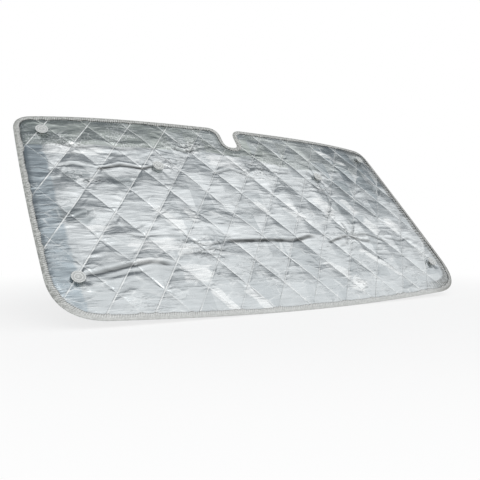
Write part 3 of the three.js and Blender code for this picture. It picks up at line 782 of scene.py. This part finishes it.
# the share of painted highlight, made less metallic so that its white shows
painted_white_share = (seam_glint * 0.7).maths("MAXIMUM", glare_share * 0.4)
foil.set(
    Base_Color=foil.layered(
        SILVER,
        (foil.ease(patches, 0.35, 0.75, 0, 0.6), SILVER_DULL),
        (foil.ease(streaks, 0.4, 0.66, 0, 0.6), SILVER_DULL),
        (foil.ease(fine_streaks, 0.45, 0.58, 0, 0.6), SILVER_DULL),
        # painted shade, darker towards the bottom
        (foil.ease(foil_v, -0.08, -0.28, 0, 0.85), SILVER_DULL),
        # painted blue-grey shade in the flat strip along the left edge
        (left_edge_share, LEFT_EDGE_SHADE),
        # painted shade in the band along the top
        (top_shade_share, TOP_BAND_SHADE),
        (dots * 0.8, SILVER),
        # painted shade on single facets, darkest at the upper right
        (foil.ease(facet_shade, 0.3, 0.95) * (by_right * 0.40 + 0.25), SHADED_FACET),
        (by_upper_right * foil.ease(facet_shade, 0.35, 0.85, 0.25, 0.95), UPPER_RIGHT_SHADE),
        # painted shade, then painted highlight, on the listed faces
        (face_shade_share, FACE_SHADE_GREY),
        (glare_share * 0.9, HIGHLIGHT_WHITE),
        (shade_line, CREASE_SHADE),
        (seam_glint, HIGHLIGHT_WHITE),
        (dark_side * 0.9, CREASE_SHADE),
        (crest_glint, HIGHLIGHT_WHITE),
        # painted shade in the folds and beside the binding
        (foil.marked("folded") * 0.95, CREASE_SHADE),
        # painted shade along the right edge, in ribs
        (foil.marked("edge_ribs_shade"), RIGHT_EDGE_SHADE),
    ),
    Metallic=1 - (crest_glint * 0.5).maths("MAXIMUM", painted_white_share),
    Roughness=foil.ease(fine_streaks * 0.5 + patches * 0.5, 0.3, 0.7, 0.17, 0.30),
    Normal=foil.relief(film + buckled, MM),
)

FOIL_STEPS, FOIL_STEPS_QUICK = 31, 20
net_u, net_v, net_faces = quilted_net(FOIL_STEPS)
net_inset, net_nearest = edge_inset(net_u, net_v)
relief = foil_relief(net_u, net_v, net_inset, net_nearest)
foil_face = piece("foil_face", on_sheet(net_u, net_v, relief), net_faces, foil.material, "foil")
mark(foil_face, "folded", fold_shade(net_u, net_v, net_inset))
# the mark is positive in the painted highlights and negative in the painted shade
face_share = faces_share(net_u, net_v, GLARE_FACES)
mark(foil_face, "face", face_share - faces_share(net_u, net_v, SHADED_FACES) * (1 - face_share))
crush = np.zeros(len(net_u))
for place_u, place_v, spread, _ in CRUSHED_PLACES:
    away = np.hypot(net_u - place_u, 1.6 * (net_v - place_v))
    crush = np.maximum(crush, np.exp(-((away / (0.8 * spread)) ** 2)))
mark(foil_face, "crushed", crush)
# painted shade along the right edge, ribbed where the film gathers
ribbing = 0.6 + 0.4 * np.sin(net_nearest * EDGE_STEP / 2.15)
mark(foil_face, "edge_ribs_shade", eased(net_u, 560, 700) * (1 - eased(net_inset, 44, 50)) * ribbing)
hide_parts("outer_foil")

# The wadding: white needled polyester felt that fills the mat between foil and lining. It is cut with them
# and held by the same seams, and the binding hides its edge.

FELT_WHITE = (0.80, 0.80, 0.78, 1)
FELT_SHADE = (0.62, 0.62, 0.60, 1)
felt = Finish("wadding_felt", Roughness=0.95, Sheen_Weight=0.4)
fibres = felt.noise(420, 300, detail=5.0, roughness=0.7, distortion=1.5)
felt.set(Base_Color=felt.mix(fibres, FELT_SHADE, FELT_WHITE), Normal=felt.relief(fibres, 0.0008))
WADDING_UNDER_FOIL = 0.6
FELT_CELL = 10.0
LINING_GAP = 0.3
THINNEST_FELT = 0.4


def felt_cell(u, v):
    """The square of the mat, by number across and up, that each point lies in."""
    halves = ((u, HALF_WIDTH_BOTTOM), (v, MAT_HEIGHT / 2))
    return [((x + half) / FELT_CELL + 1).astype(int) for x, half in halves]


# the felt's front keeps under the lowest foil of the squares around, so it never shows through
felt_u, felt_v, felt_faces = quilted_net(12)
felt_inset, _ = edge_inset(felt_u, felt_v)
foil_cells = felt_cell(net_u, net_v)
lowest = np.full([cell.max() + 3 for cell in foil_cells], LOFT_LIMIT)
np.minimum.at(lowest, tuple(foil_cells), relief)
cell_across, cell_up = felt_cell(felt_u, felt_v)
around = [lowest[cell_across + k, cell_up + m] for k in (-1, 0, 1) for m in (-1, 0, 1)]
felt_back = lining_depth(felt_u, felt_v, felt_inset) + LINING_THICKNESS + LINING_GAP
felt_front = np.minimum(np.min(around, 0), LOFT_LIMIT) - WADDING_UNDER_FOIL
felt_front = np.maximum(felt_front, felt_back + THINNEST_FELT)
wadding = closed_layer(felt_u, felt_v, felt_front, felt_back, felt_faces)
felt_pad = piece("felt_pad", *wadding, felt.material, "wadding")
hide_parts("wadding")

# The edge binding: a light grey felted tape, folded over the cut edge of all the layers and sewn down
# through them. It puffs between the stitches, and its inner edge is drawn in where a seam meets it.

TAPE_THICKNESS = 1.3
TAPE_UNDER = 0.3
TAPE_GREY = (0.27, 0.28, 0.265, 1)
TAPE_PALE = (0.50, 0.51, 0.49, 1)
TAPE_DARK = (0.07, 0.07, 0.07, 1)
TAPE_LIT = (0.70, 0.71, 0.70, 1)
TAPE_SHADED = (0.13, 0.125, 0.11, 1)
tape = Finish("binding_tape", Roughness=0.9, Sheen_Weight=0.35, Sheen_Roughness=0.4)
mottle = tape.noise(110, 110, detail=4.0, roughness=0.7)
fleck = tape.noise(260, 260, detail=3.0, roughness=0.6, distortion=1.0)
tape_u, tape_v, _, _ = tape.seams()
tape.set(
    Base_Color=tape.layered(
        TAPE_GREY,
        (tape.ease(mottle, 0.40, 0.62), TAPE_PALE),
        (tape.ease(fleck, 0.55, 0.75, 0, 0.7), TAPE_DARK),
        # painted light: the tape is paler along the bottom
        (tape.ease(tape_v, -0.30, -0.38, 0, 0.55), TAPE_LIT),
        # painted shade: the tape is darker at the right
        (tape.ease(tape_u, 0.58, 0.72, 0, 0.6), TAPE_SHADED),
        # painted shadow along the tape's inner edge, broken by the mottle
        (tape.marked("inner_edge_shadow") * tape.ease(mottle, 0.35, 0.55, 0.5, 1), TAPE_DARK),
    ),
    Normal=tape.relief(mottle * 0.5 + fleck * 0.5, 0.0009),
)

TAPE_STEP = 3.5
LEG_STEPS, FOLD_STEPS = 8, 6
PUFF_PITCH = 6.0
edge, inward, tape_length = outline(TAPE_STEP)
distance = np.arange(len(edge)) * tape_length / len(edge)
_, _, seam_a, seam_b = diamonds(edge[:, 0] + 20 * inward[:, 0], edge[:, 1] + 20 * inward[:, 1])
to_seam = np.minimum(np.minimum(seam_a, 1 - seam_a), np.minimum(seam_b, 1 - seam_b))
on_notch = eased(-np.abs(edge[:, 0]), -95, -60) * eased(edge[:, 1], 290, 315)
drawn_in = (1 - eased(to_seam, 0.0, 0.10)) * (1 - on_notch)
uneven_cut = 1.7 * bumps(distance / 30, 0, 61) + 0.9 * bumps(distance / 8, 0, 63)
width = BINDING_WIDTH - 0.6 + uneven_cut + 3.2 * drawn_in
puff = 0.55 + 0.135 * np.cos(distance / PUFF_PITCH * 2 * np.pi) + 0.25 * bumps(distance / 9, 0, 62)

# the tape's section goes round its outer face, front leg to back leg, and returns by its inner face
section = [("front", 1 - k / LEG_STEPS) for k in range(LEG_STEPS + 1)]
section += [("fold", k / FOLD_STEPS) for k in range(1, FOLD_STEPS)]
section += [("back", k / LEG_STEPS) for k in range(LEG_STEPS + 1)]
LEG_FRONT, LEG_BACK = TAPE_UNDER + TAPE_THICKNESS, LINING_FACE - TAPE_UNDER - TAPE_THICKNESS
fold_middle, fold_outer = (LEG_FRONT + LEG_BACK) / 2, (LEG_FRONT - LEG_BACK) / 2
fold_inner = fold_outer - TAPE_THICKNESS
ring = []
for where, share in section:
    if where == "fold":
        inset = fold_outer * (1 - math.sin(math.pi * share))
        height = fold_middle + fold_outer * math.cos(math.pi * share)
    else:
        inset = fold_outer + (width - fold_outer) * share
        raised = puff * math.sin(math.pi * min(max(share, 0.02), 0.98)) ** 0.6
        height = LEG_FRONT + raised if where == "front" else LEG_BACK - raised
    ring.append((inset, height))
for where, share in reversed(section):
    if where == "fold":
        inset = TAPE_THICKNESS + fold_inner * (1 - math.sin(math.pi * share)) * 0.6
        height = fold_middle + fold_inner * math.cos(math.pi * share)
    else:
        inset = TAPE_THICKNESS + 1.5 + (width - TAPE_THICKNESS - 1.5) * share
        height = TAPE_UNDER if where == "front" else LINING_FACE - TAPE_UNDER
    ring.append((inset, height))


def swept(ring, stations, inward):
    """A closed band whose section, given as inset and height, is carried round the edge."""
    points = [
        on_sheet(stations[:, 0] + inset * inward[:, 0], stations[:, 1] + inset * inward[:, 1], height)
        for inset, height in ring
    ]
    points = np.stack(points, 1).reshape(-1, 3)
    sides, count = len(ring), len(stations)
    faces = []
    for k in range(count):
        here, after = k * sides, (k + 1) % count * sides
        for s in range(sides):
            t = (s + 1) % sides
            faces.append((here + s, here + t, after + t, after + s))
    return points, faces


binding = piece("binding", *swept(ring, edge, inward), tape.material, "binding")
# painted shadow along the tape's inner edge
edge_shadow = np.zeros(len(ring))
edge_shadow[[0, 1, -1]] = 0.85, 0.25, 0.85
mark(binding, "inner_edge_shadow", np.tile(edge_shadow, len(edge)))
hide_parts("edge_binding")

# The sewing: pale polyester thread. One run quilts the diamonds, a stitch every few millimetres along each
# seam, and slanted overlock stitches hold the binding down all round the edge.

THREAD_PALE = (0.88, 0.89, 0.88, 1)
THREAD_SHADE = (0.66, 0.67, 0.67, 1)
thread = Finish("sewing_thread", Roughness=0.55, Sheen_Weight=0.2)
ply = thread.noise(1500, 1500, detail=1.0)
thread.set(Base_Color=thread.mix(ply, THREAD_SHADE, THREAD_PALE), Normal=thread.relief(ply, 0.0002))


def stitches(paths, radius, sides):
    """Stitches as short rounded threads. paths holds, for each, its points in the frame and the way up."""
    points, faces = [], []
    turn = np.arange(sides) / sides * 2 * np.pi
    for path, up in paths:
        start = len(points)
        ahead = np.gradient(path, axis=0)
        ahead /= np.linalg.norm(ahead, axis=1)[:, None]
        side = np.cross(ahead, up)
        side /= np.linalg.norm(side, axis=1)[:, None]
        over = np.cross(side, ahead)
        girth = radius * np.clip(np.sin(np.linspace(0.12, np.pi - 0.12, len(path))) * 1.5, 0.25, 1)
        for k in range(len(path)):
            round_it = np.cos(turn)[:, None] * side[k] + np.sin(turn)[:, None] * over[k]
            points.extend((path[k] + girth[k] * round_it).tolist())
        for k in range(len(path) - 1):
            for s in range(sides):
                t = (s + 1) % sides
                a = start + k * sides
                faces.append((a + s, a + t, a + sides + t, a + sides + s))
        faces.append(tuple(start + s for s in reversed(range(sides))))
        faces.append(tuple(start + (len(path) - 1) * sides + s for s in range(sides)))
    return points, faces


OUTWARD = np.array([0, -math.sin(SLOPE), math.cos(SLOPE)])
OVERLOCK_PITCH = 7.0
OVERLOCK_SLANT = 4.8
OVERLOCK_RADIUS = 0.85
OVERLOCK_POINTS = 7
overlock_paths = []
for middle in np.arange(0, tape_length, OVERLOCK_PITCH):
    runs = (middle + OVERLOCK_SLANT * np.linspace(-0.5, 0.5, OVERLOCK_POINTS)) % tape_length
    eu, ev, iu, iv = (
        np.interp(runs, distance, values, period=tape_length) for values in (*edge.T, *inward.T)
    )
    wide = np.interp(middle, distance, width, period=tape_length)
    inset = np.linspace(0.35, 1.06, OVERLOCK_POINTS) * wide
    raised = LEG_FRONT + 0.65 * np.sin(np.pi * np.clip(inset / wide, 0, 1)) ** 0.6 + 0.25
    raised[-1], raised[0] = 0.6, raised[0] - 0.5
    overlock_paths.append((on_sheet(eu + inset * iu, ev + inset * iv, raised), OUTWARD))
overlock_threads = stitches(overlock_paths, OVERLOCK_RADIUS * MM, 5)
overlock = piece("overlock_stitches", *overlock_threads, thread.material, "binding")

QUILT_PITCH = 5.5
QUILT_STITCH = 4.2
QUILT_RADIUS = 0.42
QUILT_LINES = 9
QUILT_ACROSS = 0.5853
STITCH_POINTS = 4
CLEAR_OF_BINDING, CLEAR_OF_CUP = 5, 13
across = np.arange(-QUILT_LINES * DIAMOND_WIDTH, QUILT_LINES * DIAMOND_WIDTH, QUILT_PITCH * QUILT_ACROSS)
sewn = []
for family in (1, -1):
    for number in range(-QUILT_LINES, QUILT_LINES + 1):
        up = number * DIAMOND_HEIGHT - (across - PATTERN_ACROSS) * DIAMOND_HEIGHT / DIAMOND_WIDTH
        sewn.append(np.stack([across, family * up + PATTERN_UP, np.full(len(across), family)], 1))
sewn = np.vstack(sewn)
sewn = sewn[(np.abs(sewn[:, 0]) < HALF_WIDTH_BOTTOM) & (np.abs(sewn[:, 1]) < MAT_HEIGHT / 2)]
clear = edge_inset(sewn[:, 0], sewn[:, 1])[0] > BINDING_WIDTH + CLEAR_OF_BINDING
for place in CUP_PLACES.values():
    clear &= np.hypot(sewn[:, 0] - place[0], sewn[:, 1] - place[1]) > CLEAR_OF_CUP
sewn = sewn[clear]
stitch_share = np.linspace(-0.5, 0.5, STITCH_POINTS) * QUILT_STITCH
stitch_share /= math.hypot(DIAMOND_WIDTH, DIAMOND_HEIGHT)
sewn_u = (sewn[:, :1] + stitch_share * DIAMOND_WIDTH).ravel()
sewn_v = (sewn[:, 1:2] - stitch_share * DIAMOND_HEIGHT * sewn[:, 2:]).ravel()
sewn_inset, sewn_nearest = edge_inset(sewn_u, sewn_v)


def quilting_run(name, height, slot):
    """One face's run of quilting stitches, at this height above the foil's seams."""
    paths = on_sheet(sewn_u, sewn_v, height).reshape(-1, STITCH_POINTS, 3)
    threads = stitches([(path, OUTWARD) for path in paths], QUILT_RADIUS * MM, 4)
    return piece(name, *threads, thread.material, slot)


on_foil = foil_relief(sewn_u, sewn_v, sewn_inset, sewn_nearest) + np.tile([-0.1, 0.35, 0.35, -0.1], len(sewn))
quilting = quilting_run("quilting_stitches", on_foil, "foil")
on_lining = lining_depth(sewn_u, sewn_v, sewn_inset) - np.tile([-0.1, 0.3, 0.3, -0.1], len(sewn))
behind_stitches = quilting_run("lining_stitches", on_lining, "lining")

# The eyelets: six nickel-plated brass rings pressed through the mat, each with a flange on the foil and its
# barrel curled over a washer behind. They carry the necks of the suction cups.

NICKEL = (0.72, 0.70, 0.66, 1)
NICKEL_WORN = (0.50, 0.47, 0.42, 1)
nickel = Finish("nickel_plate", Metallic=1.0)
worn = nickel.noise(160, 160, detail=4.0)
brushed = nickel.noise(1800, 1800, detail=2.0)
nickel.set(
    Base_Color=nickel.mix(nickel.ease(worn, 0.4, 0.75), NICKEL, NICKEL_WORN),
    Roughness=nickel.ease(worn, 0.3, 0.7, 0.18, 0.42),
    Normal=nickel.relief(brushed, 0.00005),
)


def turned(name, place, profile, sides, material, slot):
    """A piece turned about the axis of an eyelet. The profile is a closed line of radius and height."""
    middle = on_sheet(*place, 0.0)
    axis = Vector(on_sheet(*place, 10.0) - middle).normalized()
    spin = Vector((0, 0, 1)).rotation_difference(axis).to_matrix()
    points, rings = [], []
    for radius, height in profile:
        if radius == 0:
            rings.append([len(points)] * sides)
            points.append(Vector((0, 0, height * MM)))
            continue
        rings.append(list(range(len(points), len(points) + sides)))
        for k in range(sides):
            angle = 2 * math.pi * k / sides
            points.append(Vector((radius * math.cos(angle), radius * math.sin(angle), height)) * MM)
    faces = []
    closed = profile[0][0] > 0
    for here, after in zip(rings, rings[1:] + (rings[:1] if closed else [])):
        for k in range(sides):
            t = (k + 1) % sides
            corners = [here[k], here[t], after[t], after[k]]
            faces.append(tuple(dict.fromkeys(corners)))
    placed = [spin @ p + Vector(middle) for p in points]
    return piece(name, [tuple(p) for p in placed], faces, material, slot)


def arc(centre, radius, start, end, steps):
    """Points of an arc in a profile, by angle in degrees from straight out."""
    turns = np.radians(np.linspace(start, end, steps))
    return [(centre[0] + radius * math.cos(t), centre[1] + radius * math.sin(t)) for t in turns]


EYELET_BORE = 4.3
FLANGE_RADIUS = 9.9
EYELET_SIDES = 48
for name, place in CUP_PLACES.items():
    flange = [
        (EYELET_BORE, -4.4),
        *arc((5.9, -4.0), 0.7, 200, 340, 6),
        (5.3, -3.6),
        (5.0, -2.0),
        (5.0, 0.3),
        (FLANGE_RADIUS - 0.3, 0.3),
        *arc((FLANGE_RADIUS - 0.4, 0.55), 0.4, -40, 90, 5),
        *arc((7.6, 0.2), 1.25, 60, 120, 6),
        *arc((5.4, 0.1), 1.0, 90, 175, 6),
        (EYELET_BORE, -1.0),
    ]
    barrel = turned(f"eyelet_ring_{name}", place, flange, EYELET_SIDES, nickel.material, "eyelet")
    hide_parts(f"eyelet_{name}")
    washer = [
        (5.4, -3.6),
        (FLANGE_RADIUS - 0.5, -3.6),
        *arc((FLANGE_RADIUS - 0.4, -3.3), 0.35, -70, 70, 5),
        (FLANGE_RADIUS - 0.6, -2.95),
        (5.4, -2.95),
    ]
    washer = turned(f"washer_{name}", place, washer, EYELET_SIDES, nickel.material, "eyelet")
    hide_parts(f"eyelet_washer_{name}")

# The suction cups: soft clear PVC gone slightly milky, moulded in one piece with a disc, a boss, a neck that
# buttons through the eyelet and a head behind. They are pressed flat, as on the glass.

GLASS_FACE = 11.02
CUP_RADIUS = 20.0
CUP_SIDES = 64
PVC_CLEAR = (0.56, 0.58, 0.57, 1)
PVC_CLOUDED = (0.68, 0.70, 0.69, 1)
PVC_MILKY = (0.84, 0.86, 0.85, 1)
PVC_RIM = (0.25, 0.26, 0.26, 1)
pvc = Finish(
    "clear_pvc", Roughness=0.24, IOR=1.5, Transmission_Weight=0.25, Coat_Weight=0.3, Coat_Roughness=0.15
)
cloud = pvc.noise(120, 120, detail=3.0)
scuff = pvc.noise(90, 900, turn=0.5)
from_axis = pvc.marked("from_axis")
milky = pvc.ease(from_axis, 2.0, 4.5, 1, 0)
for inner, outer in (((8.5, 10.0), (11.5, 13.0)), ((16.0, 17.5), (18.6, 19.4))):
    milky = milky + pvc.ease(from_axis, *inner) * pvc.ease(from_axis, *outer, 1, 0)
pvc.set(
    Base_Color=pvc.layered(
        PVC_CLEAR,
        (cloud, PVC_CLOUDED),
        (milky, PVC_MILKY),
        (pvc.ease(from_axis, 19.0, 19.9, 0, 0.7), PVC_RIM),
    ),
    Normal=pvc.relief(scuff, 0.00015),
)
cup_profile = [
    (0, -8.7),
    (3.4, -8.7),
    *arc((4.8, -7.1), 1.6, -60, 60, 8),
    (4.0, -5.2),
    (4.0, 1.4),
    *arc((8.2, 2.2), 0.8, -100, 20, 5),
    (9.0, 5.4),
    *arc((10.2, 6.0), 1.2, 190, 110, 4),
    (13.0, 8.4),
    (17.0, 9.3),
    *arc((CUP_RADIUS - 0.7, 10.0), 0.7, -100, 80, 8),
    (CUP_RADIUS - 1.2, GLASS_FACE),
    (CUP_RADIUS - 2.6, GLASS_FACE - 0.05),
    (CUP_RADIUS - 3.4, GLASS_FACE - 0.5),
    (12.2, GLASS_FACE - 0.7),
    (11.2, GLASS_FACE - 0.15),
    (10.2, GLASS_FACE - 0.1),
    (9.4, GLASS_FACE - 0.7),
    (5.0, GLASS_FACE - 0.9),
    (3.0, GLASS_FACE - 1.0),
    (2.2, GLASS_FACE - 2.0),
    (0, GLASS_FACE - 2.3),
]
for name, place in CUP_PLACES.items():
    cup = turned(f"cup_{name}", place, cup_profile, CUP_SIDES, pvc.material, "cup")
    mark(cup, "from_axis", np.repeat(*zip(*((r, CUP_SIDES if r else 1) for r, _ in cup_profile))))
    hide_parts(f"suction_cup_{name}")

# The photographer's stage: a pale floor under the mat, a pale room whose ceiling is brighter towards the
# front, and one large soft lamp above and in front. The camera stands low at the mat's left.

FLOOR_HALF = 30.0
FLOOR_UNDER = 0.001
PALE = (0.96, 0.96, 0.96, 1)
WHITE = (1.0, 1.0, 1.0, 1)
low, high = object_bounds()
centre = (low + high) / 2
corners = [(-1, -1), (1, -1), (1, 1), (-1, 1)]
corners = [(centre.x + x * FLOOR_HALF, centre.y + y * FLOOR_HALF, low.z - FLOOR_UNDER) for x, y in corners]
floor_mesh = bpy.data.meshes.new("floor")
floor_mesh.from_pydata(corners, [], [(0, 1, 2, 3)])
floor = in_scene("floor", floor_mesh)

# the floor shows white to the camera, and a little greyer near the mat, where it keeps the shadow
paint = Finish("pale_floor", Roughness=0.8, Specular_IOR_Level=0.2)
paint.set(Base_Color=PALE)
floor_mesh.materials.append(paint.material)
spot = paint.node("ShaderNodeTexCoord", {}, {}, "Object")
away = paint.measure("DISTANCE", spot, tuple(centre))
kinds = ("Camera", "Glossy", "Transmission")
seen, glossy, through = (paint.node("ShaderNodeLightPath", {}, {}, f"Is {kind} Ray") for kind in kinds)
seen = seen.maths("MAXIMUM", glossy).maths("MAXIMUM", through)
white = paint.node("ShaderNodeEmission", {}, {"Color": WHITE, "Strength": 1.0})
painted = Wire(paint, paint.shader.outputs[0])
shares = {0: seen * paint.ease(away, 0.7, 2.0, 0.74, 1), 1: painted, 2: white}
mixed = paint.node("ShaderNodeMixShader", {}, shares)
paint.feed(paint.tree.nodes["Material Output"].inputs["Surface"], mixed)

world = bpy.data.worlds.new("pale_room")
bpy.context.scene.world = world
world.use_nodes = True


class Room(Finish):
    """The world's node tree, with the same way of adding nodes."""

    def __init__(self, world):
        self.tree = world.node_tree
        self.shader = self.tree.nodes["Background"]


REARWARD = (-0.3, 0.954, 0.0)
CEILING_REAR = (0.23, 0.245, 0.26, 1)
CEILING_FRONT = (1.1, 1.1, 1.1, 1)
room = Room(world)
way = room.node("ShaderNodeTexCoord", {}, {}, "Generated")
way_x, way_z = (room.node("ShaderNodeSeparateXYZ", {}, {0: way}, axis) for axis in "XZ")
rearward = room.measure("DOT_PRODUCT", way, REARWARD) + room.ease(way_x, 0.50, 0.80, 0, 0.09)
ceiling = room.layered(
    CEILING_REAR,
    (room.ease(rearward, 0.14, -0.38), WHITE),
    (room.ease(rearward, -0.36, -0.62), CEILING_FRONT),
)
room.set(Color=room.mix(room.ease(way_z, 0.36, 0.54), WHITE, ceiling), Strength=1.0)

lamp_data = bpy.data.lights.new("soft_lamp", "AREA")
lamp_data.shape = "RECTANGLE"
lamp_data.size, lamp_data.size_y = 3.0, 2.4
lamp_data.energy = 32
lamp = in_scene("soft_lamp", lamp_data)
lamp.location = centre + Vector((-1.6, -3.2, 2.2))
lamp.rotation_mode = "QUATERNION"
lamp.rotation_quaternion = (centre - lamp.location).to_track_quat("-Z", "Y")

camera_data = bpy.data.cameras.new("camera")
camera_data.sensor_width = 36
camera_data.lens = 43.41
camera = in_scene("camera", camera_data)
camera.location = (-0.4994, -1.8823, -0.3308)
camera.rotation_mode = "QUATERNION"
camera.rotation_quaternion = Quaternion((0.6810356, 0.6724508, -0.2034411, -0.2064272))
bpy.context.scene.camera = camera
bpy.context.scene.view_settings.view_transform = "Standard"
